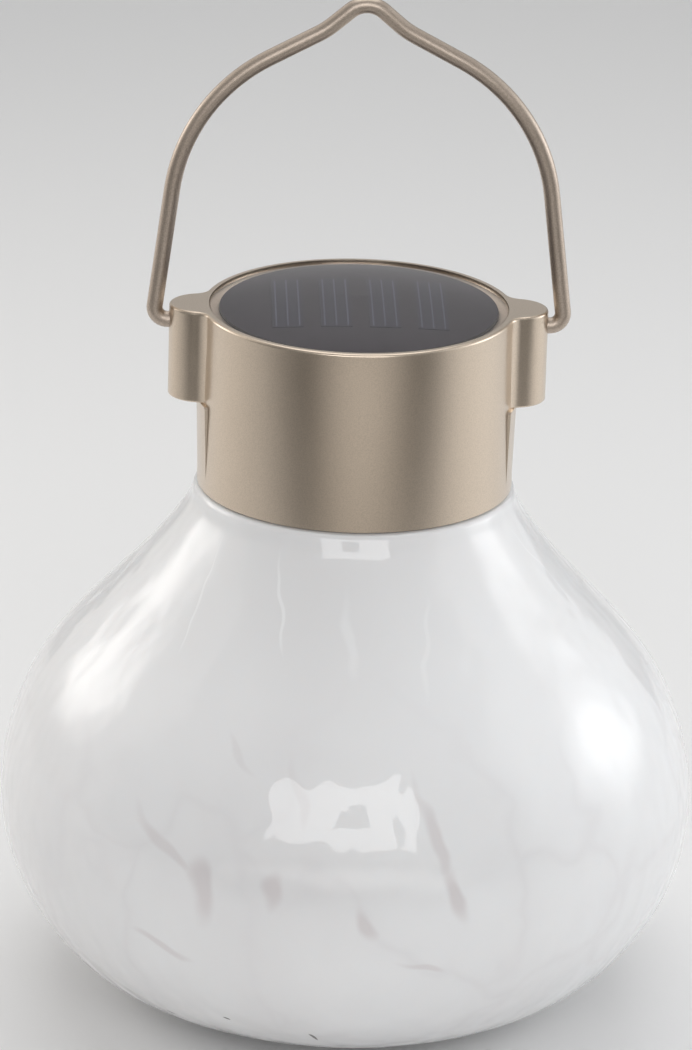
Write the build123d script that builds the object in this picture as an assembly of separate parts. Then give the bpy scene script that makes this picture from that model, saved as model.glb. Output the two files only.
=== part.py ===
"""Hanging solar jar lantern: a blown-glass globe under a twist-off cap with a wire bail.

Millimetres. The origin is the centre of the globe's base, +Z is up, and X runs through
the two lugs that carry the bail. Each function builds one separate piece of the lantern.
"""

from build123d import *
import math
import os

# ---------------------------------------------------------------- driving dimensions
# Heights above the base
CAP_TOP = 145.5
SKIRT_BOTTOM = 109.25
LUG_FOOT = 126.8
MOUTH = 122.6
PIVOT = 142.0

# Glass globe
NECK_RADIUS = 25.5
NECK_WALL = 2.6
GLOBE_WALL = 3.2
FOOT_RADIUS = 28.5
PUNT_RADIUS = 20.0
PUNT_RISE = 2.0
GLOBE_OUTLINE = [  # radius, height: from below the cap down to the foot
    (32.4, 107.4),
    (34.9, 102.4),
    (40.9, 94.2),
    (50.2, 83.8),
    (60.0, 72.8),
    (66.5, 61.0),
    (69.8, 46.5),
    (69.0, 34.3),
    (63.3, 20.9),
    (53.8, 10.4),
    (41.7, 4.0),
    (30.0, 0.6),
]

# Cap shell
RIM_RADIUS = 30.9
SKIRT_RADIUS = 31.35
CAP_BORE = 28.7
RIM_FILLET = 0.6
DECK_TOP = 142.3
DECK = 1.8
RECESS_RADIUS = 29.6
LUG_CENTRE = 31.0
LUG_RADIUS = 6.4
LUG_BLEND = 3.5
LUG_FOOT_FILLET = 0.4
PAD_TOP_RADIUS = 31.75
PAD_BOTTOM_RADIUS = 31.3
PAD_HALF_WIDTH = 10.0
PAD_TOP = 127.0
PAD_BOTTOM = 111.5
PAD_CHAMFER = 0.4
LEAD_HOLE_RADIUS = 2.4
LEAD_HOLE_Y = 18.0

# Wire bail
WIRE_RADIUS = 1.6
BAIL_HOLE_RADIUS = 1.67
BAIL_HOLE_END = 31.6
BAIL_FOOT_END = 32.0
BAIL_CORNERS = [(40.6, 142.0), (34.9, 187.0), (7.8, 201.5), (0.0, 208.2)]  # x, height
BAIL_BENDS = [2.5, 35.6, 16.4, 5.0]

# Twist lock between the cap and the neck collar
COLLAR_RADIUS = 26.8
COLLAR_BOTTOM = 111.0
COLLAR_TOP = 121.5
GASKET_TOP = 124.2
LOCK_COUNT = 3
LOCK_HALF_ANGLE = 15.0
LOCK_TURN = 60.0
COLLAR_LOCK = (115.0, 118.0)
CAP_LOCK = (111.6, 114.6)
STOP_WIDTH_ANGLE = 3.0
STOP_CLEARANCE_ANGLE = 2.5
RUNNING_GAP = 0.4

# Solar panel
TAPE = 0.6
BACKING = 1.0
TAPE_BORE = 20.0
BACKING_RADIUS = 27.3
RESIN_RADIUS = 29.5
RESIN_EDGE = 145.1
RESIN_SHOULDER = [(24.0, 145.95), (12.0, 147.1)]  # radius, height
RESIN_CROWN = 147.5
CELL_COUNT = 4
CELL_PITCH = 9.4
CELL_SIZE = (6.0, 29.0, 0.25)
RIBBON_PITCH = 2.25
RIBBON_SIZE = (0.3, 28.0, 0.1)

# Electronics tray, fixed up into the cap
TRAY_BOTTOM = 125.0
TRAY_FLOOR = 1.8
TRAY_RADIUS = 28.2
TRAY_SCREW_CIRCLE = 24.0
TRAY_SCREW_ANGLES = (40, 140, 270)
SCREW_RADIUS = 1.1
FLAT_HEAD = (1.9, 0.35)  # radius, height
PAN_HEAD = (2.0, 1.2)
CROSS_SIZE = (1.2, 0.25)  # half length, half width
CROSS_DEPTH = 0.7
BOSS_RADIUS = 3.0
POST_RADIUS = 2.2

# Battery and its bay
BATTERY_RADIUS = 5.25
BATTERY_LENGTH = 44.5
BATTERY_NUB = 0.8
BATTERY_Y = -5.5
BATTERY_Z = 132.3
BAY_HALF_LENGTH = 24.35
BAY_HALF_WIDTH = 5.7
BAY_WALL = 1.0
BAY_ROOF = 137.8
CONTACT = 0.4
CONTACT_BOTTOM = 128.0
TAB_HALF_WIDTH = 1.2
TAB_TOP = 139.9
DOOR_SCREW_Y = -15.0
DOOR_POST_TOP = 133.0
EAR = 1.0
EAR_HALF_WIDTH = 4.0
EAR_REACH = 2.5
TONGUE = 0.7
TONGUE_BOTTOM = 125.9
TONGUE_REACH = 1.4
TONGUE_HALF_WIDTH = 2.0
TONGUE_X = 15.0

# Circuit board and what it carries
BOARD_X = 14.5
BOARD_Y = (3.5, 22.5)
BOARD_BOTTOM = 131.0
BOARD = 1.6
BOARD_SCREWS = [(-12.0, 20.0), (12.0, 6.0)]
LED_SPOT = (0.0, 10.0)
LED_RADIUS = 2.5
LENS_RADIUS = 5.2
LENS_WALL = 1.2
LENS_BARREL = 122.0
SWITCH_SPOT = (9.5, 18.0)
SWITCH_TRAVEL = 2.0
KNOB_SIZE = (2.4, 1.8)
LEAD_RADIUS = 0.5

# Worked out from the above
TRAY_TOP = TRAY_BOTTOM + TRAY_FLOOR
DECK_BOTTOM = DECK_TOP - DECK
BACKING_BOTTOM = DECK_TOP + TAPE
BACKING_TOP = BACKING_BOTTOM + BACKING
BOARD_TOP = BOARD_BOTTOM + BOARD
BATTERY_PLUS = BAY_HALF_LENGTH - CONTACT
BATTERY_MINUS = BATTERY_PLUS - BATTERY_LENGTH
KNOB_X = SWITCH_SPOT[0] - SWITCH_TRAVEL / 2


# ---------------------------------------------------------------- shape helpers
def disc(radius, low, high, x=0.0, y=0.0):
    """Upright cylinder between two heights."""
    upright = (Align.CENTER, Align.CENTER, Align.MIN)
    return Pos(x, y, low) * Cylinder(radius, high - low, align=upright)


def ring(inner, outer, low, high, x=0.0, y=0.0):
    """Upright tube between two heights."""
    return disc(outer, low, high, x, y) - disc(inner, low - 1, high + 1, x, y)


def block(xs, ys, zs):
    """Box between two corners, given as (low, high) along each axis."""
    sizes = [high - low for low, high in (xs, ys, zs)]
    middle = [(high + low) / 2 for low, high in (xs, ys, zs)]
    return Pos(*middle) * Box(*sizes)


def around(x, y, half_x, half_y, low, high):
    """Box centred on (x, y) between two heights."""
    return block((x - half_x, x + half_x), (y - half_y, y + half_y), (low, high))


def sector(inner, outer, low, high, centre, half_angle):
    """Part of an upright tube, half_angle each side of the centre angle, in degrees."""
    angles = (centre - half_angle, centre, centre + half_angle)
    inside = [polar(inner, angle) for angle in angles]
    outside = [polar(outer, angle) for angle in angles]
    edges = [
        ThreePointArc(*inside),
        Line(inside[2], outside[2]),
        ThreePointArc(*reversed(outside)),
        Line(outside[0], inside[0]),
    ]
    return Pos(0, 0, low) * extrude(make_face(edges), high - low)


def polar(radius, degrees):
    """Point of the plan at a radius and an angle from +X."""
    angle = math.radians(degrees)
    return (radius * math.cos(angle), radius * math.sin(angle))


def turned(edges):
    """Solid of revolution about Z from edges drawn as (radius, height)."""
    return revolve(Plane.XZ * make_face(edges), Axis.Z)


def turned_polygon(*points):
    """Solid of revolution about Z from the straight-sided outline (radius, height)."""
    return revolve(Plane.XZ * make_face(Polyline(*points, close=True)), Axis.Z)


def tube(points, bends, radius):
    """Round wire along straight runs joined by tangent arcs."""
    path = FilletPolyline(*points, radius=bends)
    return sweep(Plane(path @ 0, z_dir=path % 0) * Circle(radius), path)


def screw(x, y, seat, length, head_radius, head, up=True):
    """Self-tapping screw with a cross-recessed head on its seat, driven up or down."""
    way = 1 if up else -1
    outer_face = seat - way * head
    shank = disc(SCREW_RADIUS, *sorted((seat, seat + way * length)), x, y)
    body = disc(head_radius, *sorted((seat, outer_face)), x, y) + shank
    slot = sorted((outer_face, outer_face + way * CROSS_DEPTH))
    body -= around(x, y, *CROSS_SIZE, *slot)
    return body - around(x, y, *reversed(CROSS_SIZE), *slot)


# ---------------------------------------------------------------- jar
def glass_globe():
    """Blown globe with a ground foot, a shoulder under the cap and a straight neck."""
    outer = Spline(*GLOBE_OUTLINE, tangents=[(0.35, -1.0), (-1.0, -0.3)])
    samples = [index / 12 for index in range(13)]
    inner_points = []
    for at in samples:
        spot = outer @ at
        along = outer % at
        inner_points.append((spot.X + along.Y * GLOBE_WALL, spot.Y - along.X * GLOBE_WALL))
    inner = Spline(*inner_points)
    neck_bore = NECK_RADIUS - NECK_WALL
    shoulder = SKIRT_BOTTOM - RUNNING_GAP
    neck_fillet = 2.0
    start = outer @ 0
    end = outer @ 1
    edges = [
        outer,
        Spline((start.X, start.Y), (31.9, shoulder - 0.45), (30.9, shoulder),
               tangents=[(-0.35, 1.0), (-1.0, 0.0)]),
        Line((30.9, shoulder), (NECK_RADIUS + neck_fillet, shoulder)),
        RadiusArc((NECK_RADIUS + neck_fillet, shoulder), (NECK_RADIUS, shoulder + neck_fillet), neck_fillet),
        Line((NECK_RADIUS, shoulder + neck_fillet), (NECK_RADIUS, MOUTH)),
        Line((NECK_RADIUS, MOUTH), (neck_bore, MOUTH)),
        Line((neck_bore, MOUTH), (neck_bore, shoulder - 2.0)),
        Spline((neck_bore, shoulder - 2.0), inner @ 0, tangents=[(0.0, -1.0), inner % 0]),
        inner,
        Spline(inner @ 1, (0.0, PUNT_RISE + GLOBE_WALL), tangents=[inner % 1, (-1.0, 0.0)]),
        Line((0.0, PUNT_RISE + GLOBE_WALL), (0.0, PUNT_RISE)),
        Spline((0.0, PUNT_RISE), (PUNT_RADIUS, 0.0), tangents=[(1.0, 0.0), (1.0, -0.25)]),
        Line((PUNT_RADIUS, 0.0), (FOOT_RADIUS, 0.0)),
        Spline((FOOT_RADIUS, 0.0), end, tangents=[(1.0, 0.0), (1.0, 0.3)]),
    ]
    return turned(edges)


def neck_collar():
    """Moulded collar cemented round the glass neck, with three lock lugs and their stops."""
    body = ring(NECK_RADIUS, COLLAR_RADIUS, COLLAR_BOTTOM, COLLAR_TOP)
    reach = CAP_BORE - RUNNING_GAP
    root = COLLAR_RADIUS - 0.6
    stop_half = STOP_WIDTH_ANGLE / 2
    lock_stop = -LOCK_HALF_ANGLE - STOP_CLEARANCE_ANGLE - stop_half
    release_stop = LOCK_HALF_ANGLE + LOCK_TURN + STOP_CLEARANCE_ANGLE + stop_half
    for index in range(LOCK_COUNT):
        centre = 90 + index * 360 / LOCK_COUNT
        body += sector(root, reach, *COLLAR_LOCK, centre, LOCK_HALF_ANGLE)
        for stop in (lock_stop, release_stop):
            body += sector(root, reach, CAP_LOCK[0], COLLAR_LOCK[1], centre + stop, stop_half)
    return body


def rim_gasket():
    """Silicone ring on the ground mouth, squeezed by the tray when the cap is locked."""
    return ring(NECK_RADIUS - NECK_WALL, NECK_RADIUS + 0.6, MOUTH, GASKET_TOP)


# ---------------------------------------------------------------- cap
def lug_band():
    """Upper band of the cap with the two lugs blended into it, still solid."""
    plan = Circle(RIM_RADIUS)
    for side in (-1, 1):
        plan += Pos(side * LUG_CENTRE, 0) * Circle(LUG_RADIUS)
    plan = fillet(plan.vertices(), LUG_BLEND)
    band = Pos(0, 0, LUG_FOOT) * extrude(plan, CAP_TOP - LUG_FOOT)
    band = fillet(band.faces().sort_by(Axis.Z)[-1].edges(), RIM_FILLET)
    return fillet(band.faces().sort_by(Axis.Z)[0].edges(), LUG_FOOT_FILLET)


def wall_core():
    """Plain outside of the cap below the rim, drafted slightly outwards to the skirt."""
    top = CAP_TOP - 2 * RIM_FILLET
    return turned_polygon(
        (0, SKIRT_BOTTOM),
        (SKIRT_RADIUS, SKIRT_BOTTOM),
        (RIM_RADIUS, top),
        (0, top),
    )


def pads():
    """Two raised pads under the lugs, fading out towards the skirt's edge."""
    shoulder = PAD_TOP - PAD_CHAMFER
    outline = [
        (-PAD_HALF_WIDTH, PAD_BOTTOM),
        (PAD_HALF_WIDTH, PAD_BOTTOM),
        (PAD_HALF_WIDTH, shoulder),
        (PAD_HALF_WIDTH - PAD_CHAMFER, PAD_TOP),
        (PAD_CHAMFER - PAD_HALF_WIDTH, PAD_TOP),
        (-PAD_HALF_WIDTH, shoulder),
    ]
    face = make_face(Polyline(*outline, close=True))
    through = extrude(Plane.YZ * face, PAD_TOP_RADIUS + 1, both=True)
    return through & turned_polygon(
        (0, PAD_BOTTOM),
        (PAD_BOTTOM_RADIUS, PAD_BOTTOM),
        (PAD_TOP_RADIUS, PAD_TOP),
        (0, PAD_TOP),
    )


def cap_shell():
    """Moulded cap: panel recess above a deck, open skirt below, lugs, posts and lock tabs."""
    post_overlap = 0.2
    screw_hole_end = DECK_BOTTOM - 2
    body = lug_band() + wall_core() + pads()
    body -= disc(RECESS_RADIUS, DECK_TOP, CAP_TOP + 1)
    body -= disc(CAP_BORE, SKIRT_BOTTOM - 1, DECK_BOTTOM)
    body -= disc(LEAD_HOLE_RADIUS, DECK_BOTTOM - 1, DECK_TOP + 1, 0, LEAD_HOLE_Y)
    for angle in TRAY_SCREW_ANGLES:
        spot = polar(TRAY_SCREW_CIRCLE, angle)
        body += disc(BOSS_RADIUS, TRAY_TOP, DECK_BOTTOM + post_overlap, *spot)
        body -= disc(SCREW_RADIUS, TRAY_TOP - 1, screw_hole_end, *spot)
    for index in range(LOCK_COUNT):
        centre = 90 + index * 360 / LOCK_COUNT
        body += sector(COLLAR_RADIUS + RUNNING_GAP, CAP_BORE + 0.6, *CAP_LOCK, centre, LOCK_HALF_ANGLE)
    for side in (-1, 1):
        hole = Plane((side * BAIL_HOLE_END, 0, PIVOT), z_dir=(side, 0, 0)) * Circle(BAIL_HOLE_RADIUS)
        body -= extrude(hole, LUG_CENTRE + LUG_RADIUS)
    return body


def bail_handle():
    """Sprung wire handle with a peaked top, its feet turned in to the lug holes."""
    half = [(BAIL_FOOT_END, PIVOT)] + BAIL_CORNERS[:-1]
    peak = BAIL_CORNERS[-1]
    outline = half + [peak] + [(-x, height) for x, height in reversed(half)]
    points = [(x, 0, height) for x, height in outline]
    bends = BAIL_BENDS + BAIL_BENDS[-2::-1]
    return tube(points, bends, WIRE_RADIUS)


# ---------------------------------------------------------------- solar panel
def panel_tape():
    """Foam tape ring that holds the panel down on the deck."""
    return ring(TAPE_BORE, BACKING_RADIUS, DECK_TOP, BACKING_BOTTOM)


def panel_backing():
    """Black board under the solar cells."""
    return disc(BACKING_RADIUS, BACKING_BOTTOM, BACKING_TOP)


def cell_positions():
    """X of each cell's middle."""
    return [(index - (CELL_COUNT - 1) / 2) * CELL_PITCH for index in range(CELL_COUNT)]


def solar_cells():
    """Four silicon cells side by side."""
    width, length, thickness = CELL_SIZE
    top = BACKING_TOP + thickness
    return [around(x, 0, width / 2, length / 2, BACKING_TOP, top) for x in cell_positions()]


def cell_ribbons():
    """Three tinned ribbons along the top of each cell."""
    width, length, thickness = RIBBON_SIZE
    low = BACKING_TOP + CELL_SIZE[2]
    places = [x + step * RIBBON_PITCH for x in cell_positions() for step in (-1, 0, 1)]
    return [around(x, 0, width / 2, length / 2, low, low + thickness) for x in places]


def panel_resin():
    """Clear cast resin that fills the recess round and over the cells and crowns above the rim."""
    crown = Spline(
        (RESIN_RADIUS, RESIN_EDGE),
        *RESIN_SHOULDER,
        (0.0, RESIN_CROWN),
        tangents=[(-1.0, 0.17), (-1.0, 0.0)],
    )
    edges = [
        crown,
        Line((0.0, RESIN_CROWN), (0.0, DECK_TOP)),
        Line((0.0, DECK_TOP), (RESIN_RADIUS, DECK_TOP)),
        Line((RESIN_RADIUS, DECK_TOP), (RESIN_RADIUS, RESIN_EDGE)),
    ]
    body = turned(edges) - disc(BACKING_RADIUS, DECK_TOP - 1, BACKING_TOP)
    for buried in solar_cells() + cell_ribbons():
        body -= buried
    return body


# ---------------------------------------------------------------- electronics tray
def bay_extent(margin):
    """Battery bay in X and in Y, grown by a margin."""
    half_x = BAY_HALF_LENGTH + margin
    half_y = BAY_HALF_WIDTH + margin
    return (-half_x, half_x), (BATTERY_Y - half_y, BATTERY_Y + half_y)


def tray_cuts():
    """Everything cut out of the tray once its bay and posts are on it."""
    clearance = 0.3
    below = TRAY_BOTTOM - 1
    above = TRAY_TOP + 1
    bay_x, bay_y = bay_extent(0)
    cuts = [block(bay_x, bay_y, (below, BAY_ROOF))]
    for side in (-1, 1):
        contact_slot = sorted((side * BAY_HALF_LENGTH, side * (BAY_HALF_LENGTH - CONTACT - 0.1)))
        tab_y = (BATTERY_Y - TAB_HALF_WIDTH - 0.1, BATTERY_Y + TAB_HALF_WIDTH + 0.1)
        cuts.append(block(contact_slot, tab_y, (BAY_ROOF - 1, BAY_ROOF + BAY_WALL + 1)))
        tongue_x = side * TONGUE_X
        half = TONGUE_HALF_WIDTH + 0.15
        pocket_y = (bay_y[1] - 0.1, bay_y[1] + TONGUE_REACH + 0.2)
        cuts.append(block((tongue_x - half, tongue_x + half), pocket_y, (TONGUE_BOTTOM - 0.2, TRAY_TOP)))
    ear_y = (DOOR_SCREW_Y - EAR_REACH - 0.2, bay_y[0] + 0.1)
    half_ear = EAR_HALF_WIDTH + 0.2
    cuts.append(block((-half_ear, half_ear), ear_y, (below, TRAY_BOTTOM + EAR + 0.1)))
    cuts.append(disc(SCREW_RADIUS, TRAY_BOTTOM, DOOR_POST_TOP - 1, 0, DOOR_SCREW_Y))
    for angle in TRAY_SCREW_ANGLES:
        cuts.append(disc(SCREW_RADIUS + 0.2, below, above, *polar(TRAY_SCREW_CIRCLE, angle)))
    for x, y in BOARD_SCREWS:
        cuts.append(disc(SCREW_RADIUS, TRAY_TOP, BOARD_TOP, x, y))
    cuts.append(disc(LENS_RADIUS, below, above, *LED_SPOT))
    half_slot_x = (KNOB_SIZE[0] + SWITCH_TRAVEL) / 2 + clearance
    half_slot_y = KNOB_SIZE[1] / 2 + clearance
    cuts.append(around(*SWITCH_SPOT, half_slot_x, half_slot_y, below, above))
    return cuts


def module_tray():
    """Moulded tray that closes the cap from below, with the battery bay and board posts."""
    post_foot = TRAY_TOP - 0.5
    body = disc(TRAY_RADIUS, TRAY_BOTTOM, TRAY_TOP)
    body += block(*bay_extent(BAY_WALL), (post_foot, BAY_ROOF + BAY_WALL))
    body += disc(POST_RADIUS, post_foot, DOOR_POST_TOP, 0, DOOR_SCREW_Y)
    for x, y in BOARD_SCREWS:
        body += disc(POST_RADIUS, post_foot, BOARD_BOTTOM, x, y)
    for cut in tray_cuts():
        body -= cut
    return body


def tray_screws():
    """Three screws up through the tray into the cap's posts."""
    places = [polar(TRAY_SCREW_CIRCLE, angle) for angle in TRAY_SCREW_ANGLES]
    return [screw(*place, TRAY_BOTTOM, 11.0, *FLAT_HEAD) for place in places]


def battery_door():
    """Door over the battery bay: two tongues on one side, an ear for a screw on the other."""
    top = TONGUE_BOTTOM + TONGUE
    bay_x, bay_y = bay_extent(-0.15)
    body = block(bay_x, bay_y, (TRAY_BOTTOM, top))
    ear_y = (DOOR_SCREW_Y - EAR_REACH, bay_y[0] + 0.2)
    body += block((-EAR_HALF_WIDTH, EAR_HALF_WIDTH), ear_y, (TRAY_BOTTOM, TRAY_BOTTOM + EAR))
    body -= disc(SCREW_RADIUS + 0.1, TRAY_BOTTOM - 1, TRAY_BOTTOM + 2, 0, DOOR_SCREW_Y)
    for side in (-1, 1):
        tongue_x = (side * TONGUE_X - TONGUE_HALF_WIDTH, side * TONGUE_X + TONGUE_HALF_WIDTH)
        body += block(tongue_x, (bay_y[1] - 0.2, bay_y[1] + TONGUE_REACH), (TONGUE_BOTTOM, top))
    groove_pitch = 2.4
    for index in range(-3, 4):
        body -= around(index * groove_pitch, BATTERY_Y, 0.5, 3.5, TRAY_BOTTOM - 1, TRAY_BOTTOM + 0.4)
    return body


def battery_door_screw():
    """Screw that holds the battery door."""
    return screw(0, DOOR_SCREW_Y, TRAY_BOTTOM, 6.5, *FLAT_HEAD)


def battery_cell():
    """Rechargeable cell with its raised positive end."""
    nub_radius = 1.9
    body_length = BATTERY_LENGTH - BATTERY_NUB
    start = Plane((BATTERY_MINUS, BATTERY_Y, BATTERY_Z), z_dir=(1, 0, 0))
    body = extrude(start * Circle(BATTERY_RADIUS), body_length)
    body = fillet(body.edges().filter_by(GeomType.CIRCLE), 0.4)
    return body + extrude(start * Circle(nub_radius), BATTERY_LENGTH)


def contact_plate(side):
    """Flat nickel-plated contact against one end of the bay, with a solder tab above."""
    half_width = 4.2
    outer_face = side * BAY_HALF_LENGTH
    xs = sorted((outer_face, outer_face - side * CONTACT))
    plate_y = (BATTERY_Y - half_width, BATTERY_Y + half_width)
    tab_y = (BATTERY_Y - TAB_HALF_WIDTH, BATTERY_Y + TAB_HALF_WIDTH)
    plate = block(xs, plate_y, (CONTACT_BOTTOM, BAY_ROOF - 0.2))
    return plate + block(xs, tab_y, (BAY_ROOF - 0.3, TAB_TOP))


def contact_positive():
    """Plain contact for the battery's raised end."""
    return contact_plate(1)


def contact_spring():
    """Contact with a bowed leaf that presses on the battery's flat end."""
    foot = CONTACT - BAY_HALF_LENGTH
    half_height = 3.6
    low = (foot, BATTERY_Z - half_height)
    high = (foot, BATTERY_Z + half_height)
    outer = ThreePointArc(low, (BATTERY_MINUS, BATTERY_Z), high)
    inner = ThreePointArc(
        (foot, BATTERY_Z - half_height + 0.6),
        (BATTERY_MINUS - CONTACT, BATTERY_Z),
        (foot, BATTERY_Z + half_height - 0.6),
    )
    edges = [outer, Line(outer @ 1, inner @ 1), inner, Line(inner @ 0, outer @ 0)]
    section = Plane((0, BATTERY_Y, 0), x_dir=(1, 0, 0), z_dir=(0, -1, 0)) * make_face(edges)
    return contact_plate(-1) + extrude(section, 2.5, both=True)


# ---------------------------------------------------------------- circuit board
def circuit_board():
    """Charge and dusk-switch board on the tray's posts."""
    body = block((-BOARD_X, BOARD_X), BOARD_Y, (BOARD_BOTTOM, BOARD_TOP))
    body = fillet(body.edges().filter_by(Axis.Z), 1.5)
    for x, y in BOARD_SCREWS:
        body -= disc(SCREW_RADIUS + 0.1, BOARD_BOTTOM - 1, BOARD_TOP + 1, x, y)
    return body


def board_screws():
    """Two screws down through the board into the tray's posts."""
    return [screw(x, y, BOARD_TOP, 5.2, *PAN_HEAD, up=False) for x, y in BOARD_SCREWS]


def controller_chip():
    """Eight-leg controller, flat on the board."""
    x, y = (-7.0, 11.0)
    body = around(x, y, 2.4, 1.9, BOARD_TOP + 0.15, BOARD_TOP + 1.6)
    for row in (-1, 1):
        for leg in range(4):
            leg_x = x + (leg - 1.5) * 1.2
            ys = sorted((y + row * 1.8, y + row * 3.0))
            body += block((leg_x - 0.2, leg_x + 0.2), ys, (BOARD_TOP, BOARD_TOP + 0.5))
    return body


def boost_inductor():
    """Drum-wound coil."""
    x, y = (6.0, 10.0)
    body = disc(3.2, BOARD_TOP, BOARD_TOP + 1.0, x, y) + disc(2.4, BOARD_TOP, BOARD_TOP + 4.2, x, y)
    return body + disc(3.2, BOARD_TOP + 3.4, BOARD_TOP + 4.4, x, y)


def smoothing_capacitor():
    """Small upright can."""
    body = disc(2.5, BOARD_TOP, BOARD_TOP + 5.4, 8.5, 17.5)
    return fillet(body.edges().filter_by(GeomType.CIRCLE).sort_by(Axis.Z)[-1], 0.4)


def chip_resistors():
    """Four surface-mounted resistors in a row."""
    return [around(x, 16.5, 0.5, 0.9, BOARD_TOP, BOARD_TOP + 0.5) for x in (-8.0, -6.0, -4.0, -2.0)]


def led_bulb():
    """Five-millimetre lamp that shines down from the board."""
    x, y = LED_SPOT
    shoulder = 124.8
    body = disc(LED_RADIUS, shoulder, BOARD_BOTTOM, x, y) + disc(LED_RADIUS + 0.4, 130.0, BOARD_BOTTOM, x, y)
    return body + Pos(x, y, shoulder) * Sphere(LED_RADIUS)


def led_lens():
    """Frosted dome under the lamp, its flange resting on the tray's floor."""
    x, y = LED_SPOT
    bore = LENS_RADIUS - LENS_WALL
    body = disc(LENS_RADIUS, LENS_BARREL, TRAY_TOP + 0.9, x, y) + Pos(x, y, LENS_BARREL) * Sphere(LENS_RADIUS)
    body += disc(LENS_RADIUS + 1.5, TRAY_TOP, TRAY_TOP + 0.9, x, y)
    return body - disc(bore, LENS_BARREL, TRAY_TOP + 2, x, y) - Pos(x, y, LENS_BARREL) * Sphere(bore)


def switch_body():
    """Slide switch soldered under the board, open below for its knob."""
    x, y = SWITCH_SPOT
    half_slot = KNOB_SIZE[0] / 2 + SWITCH_TRAVEL / 2 + 0.3
    body = around(x, y, 4.3, 2.2, TRAY_TOP + 0.6, BOARD_BOTTOM)
    return body - around(x, y, half_slot, KNOB_SIZE[1] / 2 + 0.2, TRAY_TOP, 129.6)


def switch_knob():
    """Knob of the slide switch, reaching down through the tray's floor."""
    body = around(KNOB_X, SWITCH_SPOT[1], KNOB_SIZE[0] / 2, KNOB_SIZE[1] / 2, 123.6, 129.3)
    for step in (-0.6, 0.0, 0.6):
        body -= around(KNOB_X + step, SWITCH_SPOT[1], 0.12, KNOB_SIZE[1], 123.5, 123.8)
    return body


def panel_leads():
    """Two leads from the panel down through the deck to the board."""
    leads = []
    for side in (-1, 1):
        points = [
            (side * 1.2, 18.0, BACKING_BOTTOM),
            (side * 1.2, 18.0, 138.6),
            (side * 2.2 - 1.0, 20.6, 136.0),
            (side * 2.2 - 1.0, 20.6, BOARD_TOP),
        ]
        leads.append(tube(points, [1.2, 1.2], LEAD_RADIUS))
    return leads


def battery_leads():
    """Two leads from the battery contacts' tabs to the board."""
    height = 139.35
    leads = []
    for side, landing in ((-1, (-12.5, 8.0)), (1, (12.5, 12.0))):
        points = [
            (side * BATTERY_PLUS, BATTERY_Y, height),
            (side * 18.5, BATTERY_Y, height),
            (*landing, height),
            (*landing, BOARD_TOP),
        ]
        leads.append(tube(points, [2.5, 2.0], LEAD_RADIUS))
    return leads


PIECES = [
    glass_globe, neck_collar, rim_gasket,
    cap_shell, bail_handle,
    panel_tape, panel_backing, solar_cells, cell_ribbons, panel_resin,
    module_tray, tray_screws, battery_door, battery_door_screw,
    battery_cell, contact_positive, contact_spring,
    circuit_board, board_screws, controller_chip, boost_inductor, smoothing_capacitor, chip_resistors,
    led_bulb, led_lens, switch_body, switch_knob, panel_leads, battery_leads,
]


def write(piece):
    """Build one piece, or a group of separate solids, and write it as a STEP file."""
    shape = piece()
    if isinstance(shape, list):
        shape = Compound(children=[one.solid() for one in shape])
    export_step(shape, f"parts/{piece.__name__}.step")


os.makedirs("parts", exist_ok=True)
for piece in PIECES:
    write(piece)
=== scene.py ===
"""Looks of the solar jar lantern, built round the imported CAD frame.

The scene is in metres. The globe, its marks and the resin are drawn in millimetres and scaled by MM.
"""

import math

import bmesh
import bpy
import numpy as np
from mathutils import Matrix, Vector, noise


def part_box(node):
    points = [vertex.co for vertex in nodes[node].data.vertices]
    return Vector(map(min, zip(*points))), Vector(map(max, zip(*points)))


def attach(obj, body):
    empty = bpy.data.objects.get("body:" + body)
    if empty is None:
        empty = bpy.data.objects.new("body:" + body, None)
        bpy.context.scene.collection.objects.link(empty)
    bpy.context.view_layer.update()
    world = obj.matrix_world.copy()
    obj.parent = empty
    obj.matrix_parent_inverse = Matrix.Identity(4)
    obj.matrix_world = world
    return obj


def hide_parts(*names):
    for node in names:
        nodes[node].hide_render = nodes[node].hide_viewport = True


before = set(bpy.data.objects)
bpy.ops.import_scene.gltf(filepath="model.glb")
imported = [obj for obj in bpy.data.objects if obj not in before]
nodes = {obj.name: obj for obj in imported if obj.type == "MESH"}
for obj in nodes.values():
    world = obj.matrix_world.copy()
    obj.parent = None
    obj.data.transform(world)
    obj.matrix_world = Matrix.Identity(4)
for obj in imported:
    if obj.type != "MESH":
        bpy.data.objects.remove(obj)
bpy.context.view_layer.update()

# ---------------------------------------------------------------- places taken from the frame
MM = 0.001
cap_low, cap_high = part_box("cap_shell")
globe_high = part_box("glass_globe")[1]
resin_low, resin_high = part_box("panel_resin")
CAP_TOP = cap_high.z
SKIRT_BOTTOM = cap_low.z
MOUTH = globe_high.z
RESIN_RADIUS = resin_high.x

# ---------------------------------------------------------------- the photograph's view
CAMERA_AZIMUTH = math.radians(-2.0)
CAMERA_ELEVATION = math.radians(20.07)
CAMERA_ROLL = math.radians(1.6)
CAMERA_DISTANCE = 1.2
CAMERA_LENS = 208.8
CAMERA_SENSOR = 36.0
CAP_TOP_RIGHT = 2.58 * MM
CAP_TOP_UP = 43.3 * MM

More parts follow.
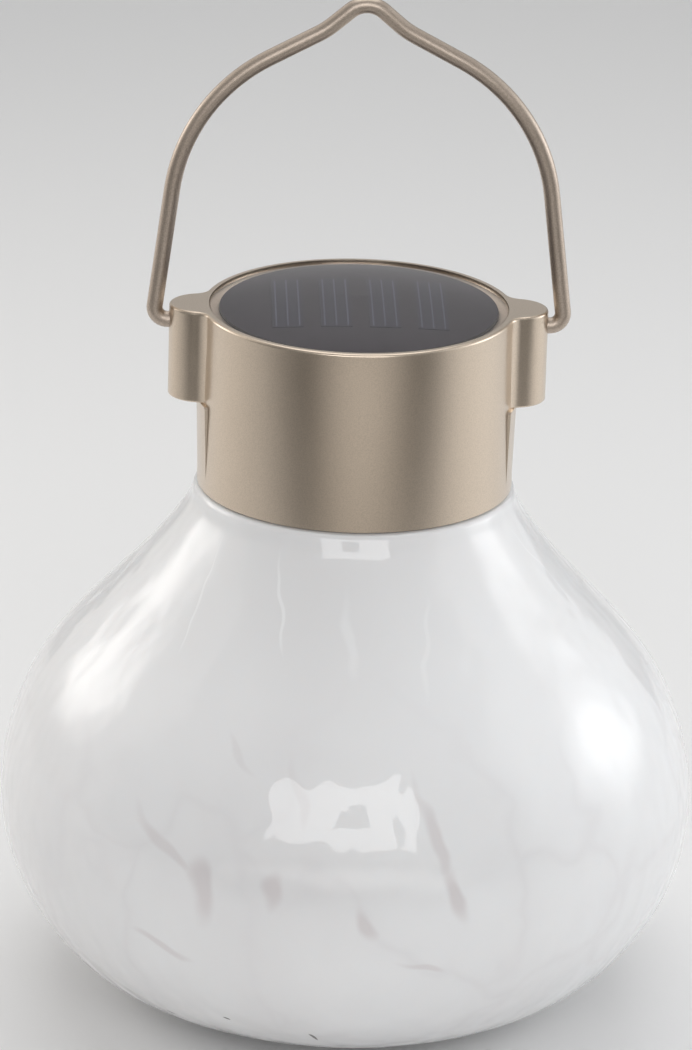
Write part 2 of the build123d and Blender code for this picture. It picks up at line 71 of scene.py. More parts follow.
# ---------------------------------------------------------------- globe, in millimetres
GLOBE_OUTLINE = [  # radius, height: from the foot to the shoulder under the cap
    (28.5, 0.0),
    (30.4, 0.35),
    (41.7, 4.0),
    (53.8, 10.4),
    (63.3, 20.9),
    (69.0, 34.3),
    (69.8, 46.5),
    (66.5, 61.0),
    (60.0, 72.8),
    (50.2, 83.8),
    (40.9, 94.2),
    (34.9, 102.4),
    (32.4, 107.2),
    (31.7, 108.5),
    (30.4, 108.85),
]
PUNT_RADIUS = 20.0
PUNT_RISE = 2.0
NECK_RADIUS = 25.5
NECK_BORE = 22.9
NECK_FILLET = 2.0
SHOULDER = 108.85
WALL = 3.2
GLOBE_SEGMENTS = 288
OUTLINE_STEPS = 190
PUNT_STEPS = 12
FILLET_STEPS = 8
LIP_CHAMFER = 0.6
INSIDE_TOP = 100.0  # height at which the wall's offset gives way to the neck's bore
BORE_START = 2.0  # below the shoulder

SWELL = (0.55, 26.0)  # depth, and scale per metre, of the blown unevenness
RIPPLE = (0.10, 75.0)
NECK_STREAK_DEPTH = 0.16
NECK_STREAK_START = 60.0  # height where the streaks of the neck begin to show
NECK_STREAK_RISE = 45.0  # and how much higher they are at full depth
FOOT_FADE = 6.0
SKIRT_FADE = 4.0

# ---------------------------------------------------------------- resin over the panel
RESIN_OVERLAP = 0.12  # millimetres that the resin wets into the deck and the wall
RESIN_DROPS = [(24.0, 1.55), (12.0, 0.4), (0.0, 0.0)]  # radius, drop below the crown
RESIN_EDGE_DROP = 2.42
RESIN_STEPS = 60
RESIN_SEGMENTS = 192

# ---------------------------------------------------------------- marks in the opal
MARK_RADIUS = 0.062  # metres: radius at which the marks are unrolled
OPAL_GAPS = [  # azimuth (degrees), height, half length, half width (mm), lean (degrees), strength
    (-26.5, 59.0, 8.5, 1.1, 45.0, 0.7),
    (-19.5, 51.5, 4.5, 1.9, 20.0, 1.0),
    (-6.8, 54.0, 3.6, 1.5, -18.0, 1.0),
    (5.7, 48.4, 3.2, 1.2, 20.0, 1.0),
    (19.0, 66.0, 7.5, 1.2, 14.0, 0.8),
    (21.3, 54.5, 6.0, 1.4, 10.0, 1.0),
    (16.7, 39.2, 4.2, 0.7, 72.0, 0.8),
    (-26.4, 38.8, 4.6, 1.1, 66.0, 0.8),
    (-3.2, 73.4, 5.0, 1.1, 22.0, 0.35),
    (-15.4, 77.0, 3.4, 0.6, 44.0, 0.35),
]
NECK_STREAKS = [  # the same values, for the pale streaks drawn down from the neck
    (-42.4, 99.5, 8.8, 0.35, 23.0, 0.8),
    (-17.8, 102.2, 7.0, 0.5, 35.0, 0.9),
    (3.0, 97.0, 6.0, 1.4, 14.0, 0.5),
    (24.0, 96.0, 8.0, 0.6, -24.0, 0.5),
]
SPECKS = [  # and for the dark specks near the foot
    (-32.4, 17.7, 1.3, 0.25, 62.0, 1.0),
    (-19.8, 21.1, 0.7, 0.3, 80.0, 1.0),
    (-1.5, 17.5, 0.9, 0.25, 75.0, 1.0),
]


def cubic_through(points, count):
    """Points along a natural cubic spline through the given points, evenly spaced by chord."""
    points = np.array(points, float)
    steps = np.linalg.norm(np.diff(points, axis=0), axis=1)
    knots = np.concatenate([[0.0], np.cumsum(steps)])
    size = len(points)
    matrix = np.eye(size)
    right = np.zeros_like(points)
    for row in range(1, size - 1):
        before, after = steps[row - 1], steps[row]
        matrix[row, row - 1:row + 2] = before, 2 * (before + after), after
        rise_after = (points[row + 1] - points[row]) / after
        rise_before = (points[row] - points[row - 1]) / before
        right[row] = 6 * (rise_after - rise_before)
    bend = np.linalg.solve(matrix, right)
    at = np.linspace(0.0, knots[-1], count)
    piece = np.clip(np.searchsorted(knots, at, side="right") - 1, 0, size - 2)
    width = steps[piece][:, None]
    left = (knots[piece + 1] - at)[:, None]
    done = (at - knots[piece])[:, None]
    curve = (bend[piece] * left**3 + bend[piece + 1] * done**3) / (6 * width)
    curve += (points[piece] / width - bend[piece] * width / 6) * left
    curve += (points[piece + 1] / width - bend[piece + 1] * width / 6) * done
    return curve


def lathe(name, profile, segments, shift=None):
    """Closed mesh of revolution about Z from (radius, height) points that start and end on the axis."""
    mesh = bpy.data.meshes.new(name)
    build = bmesh.new()
    rings = []
    for index, (radius, height) in enumerate(profile):
        if radius < 1e-7:
            rings.append([build.verts.new((0.0, 0.0, height))])
            continue
        ring = []
        for step in range(segments):
            angle = 2 * math.pi * step / segments
            spot = Vector((radius * math.cos(angle), radius * math.sin(angle), height))
            ring.append(build.verts.new(shift(index, spot) if shift else spot))
        rings.append(ring)
    for low, high in zip(rings, rings[1:]):
        for step in range(segments):
            after = (step + 1) % segments
            corners = []
            for ring, place in ((low, step), (low, after), (high, after), (high, step)):
                corner = ring[place % len(ring)]
                if corner not in corners:
                    corners.append(corner)
            build.faces.new(corners)
    bmesh.ops.recalc_face_normals(build, faces=build.faces)
    build.to_mesh(mesh)
    build.free()
    mesh.polygons.foreach_set("use_smooth", [True] * len(mesh.polygons))
    piece = bpy.data.objects.new(name, mesh)
    bpy.context.scene.collection.objects.link(piece)
    return piece


def wander(spot, scale, seed):
    """Smooth noise from 0 to 1 at a place."""
    return 0.5 + 0.5 * noise.noise(Vector(spot) * scale + Vector((seed, seed, seed)))


def blown_unevenness(spot):
    """Moves a point of the globe's outside inwards by the slight unevenness of blown glass."""
    radius = math.hypot(spot.x, spot.y)
    angle = math.atan2(spot.y, spot.x)
    below_skirt = max(0.0, (SKIRT_BOTTOM - spot.z) / (SKIRT_FADE * MM))
    fade = min(1.0, spot.z / (FOOT_FADE * MM)) * min(1.0, below_skirt)
    swell = SWELL[0] * MM * wander(spot, SWELL[1], 3.1)
    ripple = RIPPLE[0] * MM * wander(spot, RIPPLE[1], 8.7)
    near_neck = max(0.0, min(1.0, (spot.z / MM - NECK_STREAK_START) / NECK_STREAK_RISE))
    round_neck = Vector((6.0 * math.cos(angle), 6.0 * math.sin(angle), spot.z * 12.0))
    streak = NECK_STREAK_DEPTH * MM * near_neck * (0.5 + 0.5 * noise.noise(round_neck))
    inward = fade * (swell + ripple + streak)
    if radius < 1e-6:
        return spot
    return Vector((spot.x * (1 - inward / radius), spot.y * (1 - inward / radius), spot.z))


def globe_profile():
    """The globe's closed section, and how many of its points are outside, in metres."""
    punt = [(PUNT_RADIUS * t, PUNT_RISE * (1 - t * t * (3 - 2 * t))) for t in np.linspace(0, 1, PUNT_STEPS)]
    outside = cubic_through(GLOBE_OUTLINE, OUTLINE_STEPS)
    steps = np.gradient(outside, axis=0)
    steps /= np.linalg.norm(steps, axis=1)[:, None]
    inside = outside + WALL * np.column_stack([-steps[:, 1], steps[:, 0]])
    inside = inside[inside[:, 1] < INSIDE_TOP]
    fillet = [
        (
            NECK_RADIUS + NECK_FILLET * (1 - math.sin(turn)),
            SHOULDER + NECK_FILLET * (1 - math.cos(turn)),
        )
        for turn in np.linspace(0.0, math.pi / 2, FILLET_STEPS)
    ]
    mouth = MOUTH / MM
    lip = [
        (NECK_RADIUS, mouth - LIP_CHAMFER),
        (NECK_RADIUS - LIP_CHAMFER, mouth),
        (NECK_BORE + LIP_CHAMFER, mouth),
        (NECK_BORE, mouth - LIP_CHAMFER),
    ]
    bore = [(NECK_BORE, SHOULDER - BORE_START)]
    floor = [(0.0, PUNT_RISE + WALL)]
    rows = punt + outside.tolist() + fillet + lip + bore + inside[::-1].tolist() + floor
    return [(radius * MM, height * MM) for radius, height in rows], len(punt) + len(outside)


# ---------------------------------------------------------------- material tools
def new_material(name):
    """An empty node material with its principled shader; returns the material, its tree and the shader."""
    material = bpy.data.materials.new(name)
    material.use_nodes = True
    tree = material.node_tree
    return material, tree, tree.nodes["Principled BSDF"]


def node(tree, kind, **values):
    """Adds a node and sets its inputs by name, or its own properties in lower case."""
    made = tree.nodes.new(kind)
    for key, value in values.items():
        if key.islower() and hasattr(made, key):
            setattr(made, key, value)
        else:
            made.inputs[key.replace("_", " ")].default_value = value
    return made


def link(tree, source, output, target, socket):
    """Wires an output of one node to an input of another, each by name or number."""
    tree.links.new(source.outputs[output], target.inputs[socket])


def place(tree, stretch=(1.0, 1.0, 1.0)):
    """Object coordinates in metres, stretched along each axis."""
    coordinates = tree.nodes.new("ShaderNodeTexCoord")
    mapping = node(tree, "ShaderNodeMapping")
    mapping.inputs["Scale"].default_value = stretch
    link(tree, coordinates, "Object", mapping, "Vector")
    return mapping


def grain(tree, scale, detail=3.0, stretch=(1.0, 1.0, 1.0), rough=0.55):
    """Noise at a scale per metre."""
    texture = node(tree, "ShaderNodeTexNoise", Scale=scale, Detail=detail, Roughness=rough)
    link(tree, place(tree, stretch), "Vector", texture, "Vector")
    return texture


def ramp(tree, source, output, stops):
    """Colour ramp over a value: stops are (position, colour)."""
    made = tree.nodes.new("ShaderNodeValToRGB")
    link(tree, source, output, made, "Fac")
    while len(made.color_ramp.elements) < len(stops):
        made.color_ramp.elements.new(1.0)
    for element, (position, colour) in zip(made.color_ramp.elements, stops):
        element.position = position
        element.color = (*colour, 1.0) if len(colour) == 3 else colour
    return made


def grey(value):
    """Neutral colour of a brightness."""
    return (value, value, value)


def set_rough(tree, shader, source, output, low, high):
    """Roughness that wanders between two values."""
    spread = node(tree, "ShaderNodeMapRange")
    spread.inputs["To Min"].default_value = low
    spread.inputs["To Max"].default_value = high
    link(tree, source, output, spread, "Value")
    link(tree, spread, "Result", shader, "Roughness")


def set_bump(tree, shader, source, output, depth, socket="Normal"):
    """Bump of a given depth in metres."""
    bump = node(tree, "ShaderNodeBump", Distance=depth, Strength=1.0)
    link(tree, source, output, bump, "Height")
    link(tree, bump, "Normal", shader, socket)


def plain(name, colour, spread=0.12, rough=(0.35, 0.5), metallic=0.0, scale=900.0, depth=0.00001, coat=0.0):
    """Moulded, painted or plated surface: a colour that wanders slightly, uneven gloss and a fine grain."""
    material, tree, shader = new_material(name)
    texture = grain(tree, scale)
    darker = tuple(channel * (1 - spread) for channel in colour)
    lighter = tuple(min(1.0, channel * (1 + spread)) for channel in colour)
    tint = ramp(tree, texture, "Fac", [(0.3, darker), (0.7, lighter)])
    link(tree, tint, "Color", shader, "Base Color")
    shader.inputs["Metallic"].default_value = metallic
    shader.inputs["Coat Weight"].default_value = coat
    set_rough(tree, shader, texture, "Fac", *rough)
    set_bump(tree, shader, texture, "Fac", depth)
    return material


def multiply(tree, first, second):
    """Product of two (node, output) values."""
    step = node(tree, "ShaderNodeMath", operation="MULTIPLY")
    tree.links.new(first[0].outputs[first[1]], step.inputs[0])
    tree.links.new(second[0].outputs[second[1]], step.inputs[1])
    return (step, 0)


def blend_colour(tree, factor, base, top):
    """Colour that goes from a base, given as (node, output), to a fixed top colour by a factor."""
    mix = node(tree, "ShaderNodeMix", data_type="RGBA")
    tree.links.new(factor[0].outputs[factor[1]], mix.inputs[0])
    tree.links.new(base[0].outputs[base[1]], mix.inputs[6])
    mix.inputs[7].default_value = (*top, 1.0)
    return (mix, 2)


def stirred(tree, source, output, amount):
    """A place pushed about by slow noise."""
    swirl = grain(tree, 65.0, 1.5)
    bent = node(tree, "ShaderNodeMix", data_type="VECTOR")
    bent.inputs["Factor"].default_value = amount
    tree.links.new(source.outputs[output], bent.inputs[4])
    tree.links.new(swirl.outputs["Color"], bent.inputs[5])
    return bent


def unrolled(tree):
    """Place on the globe as (arc, height) in metres, the pattern coming round three times."""
    split = tree.nodes.new("ShaderNodeSeparateXYZ")
    link(tree, place(tree), "Vector", split, "Vector")
    front = node(tree, "ShaderNodeMath", operation="MULTIPLY")
    link(tree, split, "Y", front, 0)
    front.inputs[1].default_value = -1.0
    angle = node(tree, "ShaderNodeMath", operation="ARCTAN2")
    link(tree, split, "X", angle, 0)
    link(tree, front, 0, angle, 1)
    wrapped = node(tree, "ShaderNodeMath", operation="WRAP")
    link(tree, angle, 0, wrapped, 0)
    wrapped.inputs[1].default_value = math.pi / 3
    wrapped.inputs[2].default_value = -math.pi / 3
    arc = node(tree, "ShaderNodeMath", operation="MULTIPLY")
    link(tree, wrapped, 0, arc, 0)
    arc.inputs[1].default_value = MARK_RADIUS
    spot = tree.nodes.new("ShaderNodeCombineXYZ")
    link(tree, arc, 0, spot, "X")
    link(tree, split, "Z", spot, "Y")
    return spot


def marks(tree, spot, places, soft):
    """Strength of the nearest of several drawn-out marks, listed as in OPAL_GAPS."""
    strongest = None
    for azimuth, height, half_length, half_width, lean, strength in places:
        local = node(tree, "ShaderNodeMapping", vector_type="TEXTURE")
        local.inputs["Location"].default_value = (math.radians(azimuth) * MARK_RADIUS, height * MM, 0.0)
        local.inputs["Rotation"].default_value = (0.0, 0.0, math.radians(lean))
        local.inputs["Scale"].default_value = (half_width * MM, half_length * MM, 1.0)
        tree.links.new(spot[0].outputs[spot[1]], local.inputs["Vector"])
        reach = node(tree, "ShaderNodeVectorMath", operation="LENGTH")
        link(tree, local, "Vector", reach, 0)
        mark = node(tree, "ShaderNodeMapRange", interpolation_type="SMOOTHSTEP")
        mark.inputs["From Min"].default_value = 1.0 + soft
        mark.inputs["From Max"].default_value = 1.0 - soft
        mark.inputs["To Max"].default_value = strength
        link(tree, reach, "Value", mark, "Value")
        if strongest is None:
            strongest = (mark, "Result")
            continue
        larger = node(tree, "ShaderNodeMath", operation="MAXIMUM")
        tree.links.new(strongest[0].outputs[strongest[1]], larger.inputs[0])
        link(tree, mark, "Result", larger, 1)
        strongest = (larger, 0)
    return strongest


def height_fade(tree, start, end):
    """Value that rises from 0 to 1 between two heights in metres."""
    split = tree.nodes.new("ShaderNodeSeparateXYZ")
    link(tree, place(tree), "Vector", split, "Vector")
    fade = node(tree, "ShaderNodeMapRange", interpolation_type="SMOOTHSTEP")
    fade.inputs["From Min"].default_value = start
    fade.inputs["From Max"].default_value = end
    link(tree, split, "Z", fade, "Value")
    return fade


# ---------------------------------------------------------------- materials
def opal_lobes(tree):
    """Faint seams between the drawn-out opal lobes."""
    bent = stirred(tree, place(tree, (1.0, 1.0, 0.55)), "Vector", 0.02)
    lobes = node(tree, "ShaderNodeTexVoronoi", feature="DISTANCE_TO_EDGE", Scale=27.0, Randomness=0.9)
    tree.links.new(bent.outputs[1], lobes.inputs["Vector"])
    seam = ramp(tree, lobes, "Distance", [(0.0, grey(0.7)), (0.05, grey(0.35)), (0.30, grey(0.0))])
    return multiply(tree, (seam, "Color"), (height_fade(tree, 0.100, 0.050), "Result"))


def opal_glass():
    """White opal lobes cased in clear glass, with a few milky gaps low down and streaks from the neck."""
    material, tree, shader = new_material("opal_glass")
    cloud = ramp(
        tree,
        grain(tree, 14.0, 3.0, (1.0, 1.0, 0.45)),
        "Fac",
        [(0.35, (0.85, 0.845, 0.85)), (0.5, (0.885, 0.883, 0.888)), (0.66, (0.91, 0.915, 0.925))],
    )
    spot = (stirred(tree, unrolled(tree), "Vector", 0.012), 1)
    colour = blend_colour(tree, opal_lobes(tree), (cloud, "Color"), (0.82, 0.81, 0.82))
    colour = blend_colour(tree, marks(tree, spot, OPAL_GAPS, 0.5), colour, (0.75, 0.718, 0.725))
    colour = blend_colour(tree, marks(tree, spot, NECK_STREAKS, 0.5), colour, (0.97, 0.97, 0.975))
    colour = blend_colour(tree, marks(tree, spot, SPECKS, 0.3), colour, (0.12, 0.11, 0.11))
    tree.links.new(colour[0].outputs[colour[1]], shader.inputs["Base Color"])
    shader.inputs["Roughness"].default_value = 0.30
    shader.inputs["IOR"].default_value = 1.5
    shader.inputs["Specular IOR Level"].default_value = 0.2
    shader.inputs["Subsurface Weight"].default_value = 0.35
    shader.inputs["Subsurface Radius"].default_value = (1.0, 0.9, 0.85)
    shader.inputs["Subsurface Scale"].default_value = 0.004
    shader.inputs["Coat Weight"].default_value = 1.0
    shader.inputs["Coat Roughness"].default_value = 0.02
    shader.inputs["Coat IOR"].default_value = 1.5
    set_bump(tree, shader, grain(tree, 85.0, 1.5, (1.0, 1.0, 0.55)), "Fac", 0.0011, "Coat Normal")
    return material


def metallic_paint(name, colour, dark, rough):
    """Satin champagne paint with fine metal flake."""
    material, tree, shader = new_material(name)
    flake = grain(tree, 4200.0, 2.0)
    cloud = grain(tree, 60.0, 3.0)
    tint = ramp(tree, flake, "Fac", [(0.38, dark), (0.60, colour)])
    link(tree, tint, "Color", shader, "Base Color")
    shader.inputs["Metallic"].default_value = 1.0
    shader.inputs["Coat Weight"].default_value = 0.35
    shader.inputs["Coat Roughness"].default_value = 0.1
    set_rough(tree, shader, cloud, "Fac", *rough)
    set_bump(tree, shader, flake, "Fac", 0.000002)
    return material


def clear_resin():
    """Clear cast resin that lets light through to the cells."""
    material, tree, shader = new_material("clear_resin")
    shader.inputs["Base Color"].default_value = (0.97, 0.95, 0.955, 1.0)
    shader.inputs["Transmission Weight"].default_value = 1.0
    shader.inputs["IOR"].default_value = 1.42
    wear = grain(tree, 120.0, 3.0)
    set_rough(tree, shader, wear, "Fac", 0.01, 0.04)
    set_bump(tree, shader, grain(tree, 30.0, 1.0), "Fac", 0.00003)
    path = tree.nodes.new("ShaderNodeLightPath")
    through = node(tree, "ShaderNodeBsdfTransparent")
    through.inputs["Color"].default_value = (0.85, 0.84, 0.85, 1.0)
    mix = tree.nodes.new("ShaderNodeMixShader")
    output = tree.nodes["Material Output"]
    link(tree, path, "Is Shadow Ray", mix, 0)
    tree.links.new(shader.outputs["BSDF"], mix.inputs[1])
    tree.links.new(through.outputs["BSDF"], mix.inputs[2])
    tree.links.new(mix.outputs[0], output.inputs["Surface"])
    return material


# ---------------------------------------------------------------- pieces
def opal_globe():
    """The blown globe, with the slight unevenness of its wall."""
    profile, outer_count = globe_profile()

    def shift(index, spot):
        return spot if index > outer_count else blown_unevenness(spot)

    piece = lathe("opal_globe", profile, GLOBE_SEGMENTS, shift)
    piece.data.materials.append(opal_glass())
    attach(piece, "jar")
    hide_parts("glass_globe")
    return piece


def resin_dome():
    """The clear resin over the cells: one body that wets the deck and wall it was cast against."""
    radius = RESIN_RADIUS / MM + RESIN_OVERLAP
    base = resin_low.z / MM - RESIN_OVERLAP
    crown = resin_high.z / MM
    drops = [(radius, RESIN_EDGE_DROP)] + RESIN_DROPS
    top = cubic_through([(reach, crown - drop) for reach, drop in drops], RESIN_STEPS)
    rows = [(0.0, base), (radius, base)] + [(max(0.0, reach), height) for reach, height in top]
    piece = lathe("resin_dome", [(reach * MM, height * MM) for reach, height in rows], RESIN_SEGMENTS)
    piece.data.materials.append(clear_resin())
    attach(piece, "cap")
    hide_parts("panel_resin")
    return piece


def dress(names, material):
    """Gives carried-over CAD nodes their material."""
    for name in names:
        slots = nodes[name].data.materials
        slots.clear()
        slots.append(material)


def dress_all():
    """Materials for every CAD node."""
    shell = metallic_paint("champagne_shell", (0.66, 0.555, 0.445), (0.59, 0.495, 0.395), (0.27, 0.33))
    wire = metallic_paint("champagne_wire", (0.54, 0.455, 0.38), (0.44, 0.365, 0.30), (0.38, 0.48))
    dress(["cap_shell"], shell)
    dress(["bail_handle"], wire)
    dress(["neck_collar"], plain("collar_plastic", (0.82, 0.82, 0.79), 0.04))
    dress(["rim_gasket"], plain("gasket_silicone", (0.78, 0.78, 0.76), 0.05, (0.5, 0.65)))
    dress(["panel_tape"], plain("foam_tape", (0.03, 0.03, 0.03), 0.3, (0.8, 0.95), depth=0.00008))
    dress(["panel_backing"], plain("panel_board", (0.020, 0.014, 0.020), 0.25, (0.35, 0.5), scale=300.0))
    dress(["solar_cells"], plain("silicon_cell", (0.022, 0.020, 0.032), 0.2, (0.25, 0.4), scale=500.0))
    dress(["cell_ribbons"], plain("tinned_ribbon", (0.10, 0.10, 0.135), 0.15, (0.4, 0.6), 0.5))
    tray = plain("tray_plastic", (0.045, 0.045, 0.048), 0.15, (0.4, 0.6), scale=1500.0)
    dress(["module_tray", "battery_door"], tray)
    screws = ["tray_screws", "battery_door_screw", "board_screws"]
    dress(screws, plain("screw_steel", (0.62, 0.62, 0.63), 0.1, (0.22, 0.4), 1.0, 2500.0))
    dress(["battery_cell"], plain("battery_sleeve", (0.10, 0.32, 0.16), 0.08, (0.2, 0.32), 0.2, coat=0.6))
    contacts = ["contact_positive", "contact_spring"]
    dress(contacts, plain("contact_nickel", (0.74, 0.72, 0.66), 0.08, (0.15, 0.3), 1.0, 1500.0))
    laminate = plain("board_laminate", (0.02, 0.17, 0.06), 0.2, (0.3, 0.45), scale=700.0, coat=0.4)
    dress(["circuit_board"], laminate)
    dress(["controller_chip"], plain("chip_epoxy", (0.025, 0.025, 0.027), 0.2, (0.5, 0.7), scale=3000.0))
    dress(["boost_inductor"], plain("ferrite", (0.07, 0.065, 0.065), 0.25, (0.55, 0.75), scale=2500.0))
    dress(["smoothing_capacitor"], plain("capacitor_can", (0.70, 0.70, 0.72), 0.06, (0.25, 0.4), 1.0))
    dress(["chip_resistors"], plain("resistor_ceramic", (0.05, 0.05, 0.055), 0.2, (0.4, 0.6), scale=3000.0))
    dress(["led_bulb"], plain("led_epoxy", (0.85, 0.80, 0.55), 0.06, (0.08, 0.15), coat=1.0))
    dress(["led_lens"], plain("frosted_lens", (0.85, 0.85, 0.84), 0.03, (0.35, 0.5)))
    dress(["switch_body"], plain("switch_metal", (0.62, 0.62, 0.64), 0.1, (0.25, 0.4), 1.0, 2500.0))
    dress(["switch_knob"], plain("knob_plastic", (0.78, 0.78, 0.76), 0.05))
    dress(["panel_leads", "battery_leads"], plain("lead_insulation", (0.42, 0.02, 0.02), 0.1, (0.35, 0.5)))


# ---------------------------------------------------------------- studio
MIDDLE = Vector((0.0, 0.0, 0.08))
TOP_BOX = Vector((0.0, 0.25, 1.1))
BACKDROP_LIGHT = Vector((0.0, 2.0, 2.4))
BACKDROP_AIM = Vector((0.0, 3.0, 1.2))
FILL_CARD = Vector((0.015, -0.35, 0.036))
FRONT_BOX = (-1, 25, 1.45)  # azimuth, elevation, distance from the lantern's middle
CAMERA_STAND = (-1, 22, 1.32)
LEFT_BOX = (-119, 20, 0.55)
RIGHT_BOX = (100, 16, 0.55)
FRONT_BRIGHTNESS = 2.6
TOP_BRIGHTNESS = 1.5
BACKDROP_BRIGHTNESS = 1.9
ROOM_BRIGHTNESS = 0.30
ROOM_IN_SHOT = 0.72
# Painted shade: the paper is painted darker towards the camera, out of shot, so the lantern mirrors dark
# ground there.
PAPER_PAINTED_SHADE = (0.12, -0.34)  # albedo, and the place along Y where the paper reaches it
PAPER_PALE = (0.80, -0.13)
FLOOR_HALF_WIDTH = 3.0
FLOOR_FRONT = -3.0
BACKDROP_Y = 3.0
BACKDROP_BEND = 1.0
BACKDROP_TOP = 3.2
LEFT_TINT = (1.0, 0.975, 0.94)
RIGHT_TINT = (0.98, 0.99, 1.0)


def around_object(azimuth, elevation, distance):
    """Point seen from the lantern's middle at an azimuth from the front, an elevation and a distance."""
    a, e = math.radians(azimuth), math.radians(elevation)
    way = Vector((math.sin(a) * math.cos(e), -math.cos(a) * math.cos(e), math.sin(e)))
    return MIDDLE + way * distance


def facing(position, aim):
    """Rotation that turns -Z from a position towards a point."""
    return (Vector(aim) - Vector(position)).to_track_quat("-Z", "Y").to_euler()


def softbox(name, position, aim, size, radiance):
    """Evenly bright rectangular light, aimed at a point."""
    light = bpy.data.lights.new(name, "AREA")
    light.shape = "RECTANGLE"
    light.size, light.size_y = size
    light.energy = radiance * math.pi * size[0] * size[1]
    lamp = bpy.data.objects.new(name, light)
    lamp.location = position
    lamp.rotation_euler = facing(position, aim)
    lamp.visible_camera = False
    bpy.context.scene.collection.objects.link(lamp)


def card(name, position, aim, size, material):
    """Flat rectangular piece of the set, aimed at a point and kept out of shot."""
    half_x, half_y = size[0] / 2, size[1] / 2
    mesh = bpy.data.meshes.new(name)
    corners = [(x * half_x, y * half_y, 0.0) for x, y in ((-1, -1), (-1, 1), (1, 1), (1, -1))]
    mesh.from_pydata(corners, [], [(0, 1, 2, 3)])
    mesh.materials.append(material)
    piece = bpy.data.objects.new(name, mesh)
    piece.location = position
    piece.rotation_euler = facing(position, aim)
    piece.visible_camera = False
    bpy.context.scene.collection.objects.link(piece)


def diffuser(name, core, edge, reach_of_core, tint):
    """Lit cloth of a softbox: brightest in the middle, and clear from behind."""
    material = bpy.data.materials.new(name)
    material.use_nodes = True
    tree = material.node_tree
    tree.nodes.clear()
    coordinates = tree.nodes.new("ShaderNodeTexCoord")
    centred = node(tree, "ShaderNodeMapping")
    centred.inputs["Location"].default_value = (-0.5, -0.5, 0.0)
    centred.inputs["Scale"].default_value = (1.0, 1.0, 0.0)
    link(tree, coordinates, "Generated", centred, "Vector")
    reach = node(tree, "ShaderNodeVectorMath", operation="LENGTH")
    link(tree, centred, "Vector", reach, 0)
    falloff = node(tree, "ShaderNodeMapRange", interpolation_type="SMOOTHSTEP")
    falloff.inputs["From Min"].default_value = 0.03
    falloff.inputs["From Max"].default_value = reach_of_core
    falloff.inputs["To Min"].default_value = core
    falloff.inputs["To Max"].default_value = edge
    link(tree, reach, "Value", falloff, "Value")
    glow = node(tree, "ShaderNodeEmission", Color=(*tint, 1.0))
    link(tree, falloff, "Result", glow, "Strength")
    clear = node(tree, "ShaderNodeBsdfTransparent")
    side = tree.nodes.new("ShaderNodeNewGeometry")
    mix = tree.nodes.new("ShaderNodeMixShader")
    link(tree, side, "Backfacing", mix, 0)
    link(tree, glow, 0, mix, 1)
    link(tree, clear, 0, mix, 2)
    output = tree.nodes.new("ShaderNodeOutputMaterial")
    link(tree, mix, 0, output, "Surface")
    return material


def studio_lights():
    """Softboxes behind the camera, overhead and on each side, a low fill, a backdrop light and the room."""
    softbox("front_box", around_object(*FRONT_BOX), MIDDLE, (1.2, 0.80), FRONT_BRIGHTNESS)
    softbox("top_box", TOP_BOX, MIDDLE, (1.0, 1.0), TOP_BRIGHTNESS)
    softbox("backdrop_light", BACKDROP_LIGHT, BACKDROP_AIM, (2.4, 0.8), BACKDROP_BRIGHTNESS)
    left = diffuser("left_diffuser", 3.6, 0.75, 0.28, LEFT_TINT)
    right = diffuser("right_diffuser", 3.5, 0.85, 0.28, RIGHT_TINT)
    fill = diffuser("fill_diffuser", 1.45, 0.0, 0.5, LEFT_TINT)
    card("left_box", around_object(*LEFT_BOX), MIDDLE, (0.75, 0.72), left)
    card("right_box", around_object(*RIGHT_BOX), MIDDLE, (0.85, 0.78), right)
    card("fill_card", FILL_CARD, MIDDLE, (0.74, 0.08), fill)
    # The camera stand is a card that glows faintly: painted light standing in for the light it catches, so
    # the lantern mirrors it as a dim shape.
    dark = diffuser("faintly_glowing_cloth", 0.1, 0.1, 0.5, LEFT_TINT)
    card("camera_stand", around_object(*CAMERA_STAND), MIDDLE, (0.26, 0.24), dark)
    world = bpy.data.worlds.new("studio")
    world.use_nodes = True
    background = world.node_tree.nodes["Background"]
    background.inputs["Color"].default_value = (1.0, 1.0, 1.0, 1.0)
    path = world.node_tree.nodes.new("ShaderNodeLightPath")
    strength = node(world.node_tree, "ShaderNodeMapRange")
    strength.inputs["To Min"].default_value = ROOM_BRIGHTNESS
    strength.inputs["To Max"].default_value = ROOM_IN_SHOT
    link(world.node_tree, path, "Is Camera Ray", strength, "Value")
    link(world.node_tree, strength, "Result", background, "Strength")
    bpy.context.scene.world = world


def studio_paper():
    """Pale matt paper with painted shade: only what the lantern mirrors of it is painted darker, well in
    front of the lantern.
    """
    material, tree, shader = new_material("studio_paper")
    split = tree.nodes.new("ShaderNodeSeparateXYZ")
    link(tree, place(tree), "Vector", split, "Vector")
    # Painted shade on the paper, darkest towards the camera; camera rays always see it pale.
    out_of_painted_shade = node(tree, "ShaderNodeMapRange", interpolation_type="SMOOTHSTEP")
    out_of_painted_shade.inputs["From Min"].default_value = PAPER_PAINTED_SHADE[1]
    out_of_painted_shade.inputs["From Max"].default_value = PAPER_PALE[1]
    link(tree, split, "Y", out_of_painted_shade, "Value")
    path = tree.nodes.new("ShaderNodeLightPath")
    pale = node(tree, "ShaderNodeMath", operation="MAXIMUM")
    link(tree, out_of_painted_shade, "Result", pale, 0)
    link(tree, path, "Is Camera Ray", pale, 1)
    shade = ramp(tree, pale, "Value", [(0.0, grey(PAPER_PAINTED_SHADE[0])), (1.0, grey(PAPER_PALE[0]))])
    link(tree, shade, "Color", shader, "Base Color")
    shader.inputs["Roughness"].default_value = 0.8
    set_bump(tree, shader, grain(tree, 900.0, 2.0), "Fac", 0.00002)
    return material


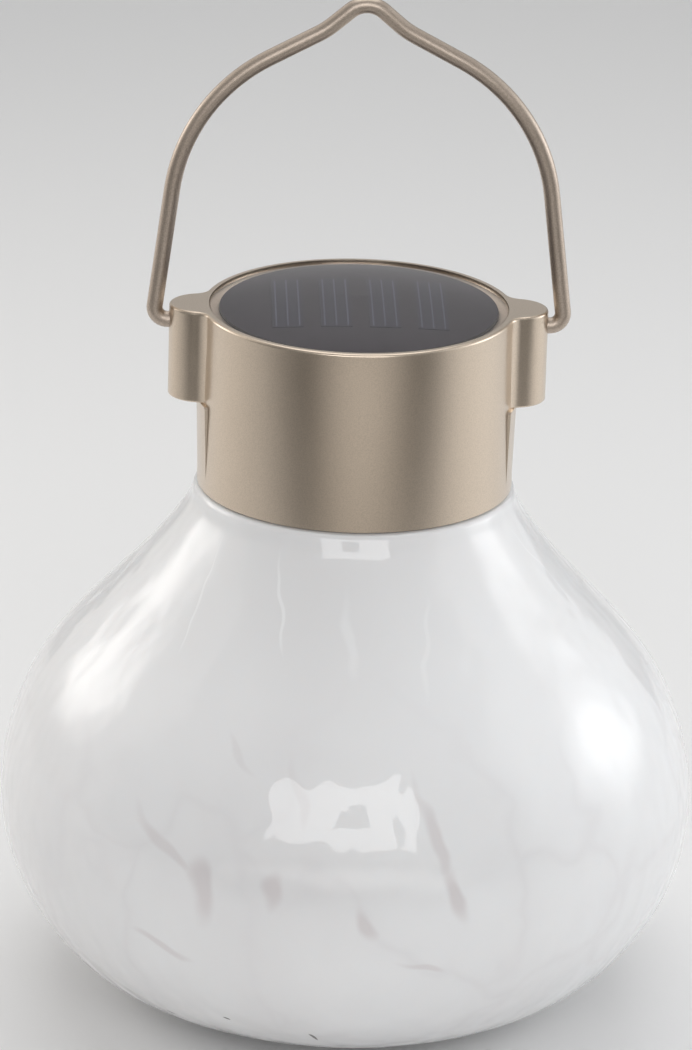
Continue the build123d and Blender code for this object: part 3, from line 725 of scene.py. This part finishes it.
def studio_floor():
    """Pale floor that curves up into a backdrop."""
    mesh = bpy.data.meshes.new("studio_floor")
    build = bmesh.new()
    level_end = BACKDROP_Y - BACKDROP_BEND
    section = [(FLOOR_FRONT, 0.0), (level_end, 0.0)]
    for turn in np.linspace(0.1, math.pi / 2, 16):
        section.append((level_end + BACKDROP_BEND * math.sin(turn), BACKDROP_BEND * (1 - math.cos(turn))))
    section.append((BACKDROP_Y, BACKDROP_TOP))
    left = [build.verts.new((-FLOOR_HALF_WIDTH, y, z)) for y, z in section]
    right = [build.verts.new((FLOOR_HALF_WIDTH, y, z)) for y, z in section]
    for index in range(len(section) - 1):
        build.faces.new([left[index], right[index], right[index + 1], left[index + 1]])
    build.to_mesh(mesh)
    build.free()
    mesh.polygons.foreach_set("use_smooth", [True] * len(mesh.polygons))
    floor = bpy.data.objects.new("studio_floor", mesh)
    bpy.context.scene.collection.objects.link(floor)
    floor.data.materials.append(studio_paper())


def camera():
    """Camera at the photograph's angle and framing."""
    a, e, roll = CAMERA_AZIMUTH, CAMERA_ELEVATION, CAMERA_ROLL
    forward = Vector((-math.sin(a) * math.cos(e), math.cos(a) * math.cos(e), -math.sin(e)))
    level_right = Vector((math.cos(a), math.sin(a), 0.0))
    level_up = level_right.cross(forward)
    right = level_right * math.cos(roll) + level_up * math.sin(roll)
    up = level_up * math.cos(roll) - level_right * math.sin(roll)
    spot = Vector((0.0, 0.0, CAP_TOP)) - right * CAP_TOP_RIGHT - up * CAP_TOP_UP - forward * CAMERA_DISTANCE
    lens = bpy.data.cameras.new("camera")
    lens.sensor_width = CAMERA_SENSOR
    lens.lens = CAMERA_LENS
    lens.clip_start = 0.01
    seen = bpy.data.objects.new("camera", lens)
    seen.matrix_world = Matrix.Translation(spot) @ Matrix((right, up, -forward)).transposed().to_4x4()
    bpy.context.scene.collection.objects.link(seen)
    bpy.context.scene.camera = seen


camera()
studio_lights()
studio_floor()
dress_all()
opal_globe()
resin_dome()
bpy.context.scene.view_settings.view_transform = "Standard"
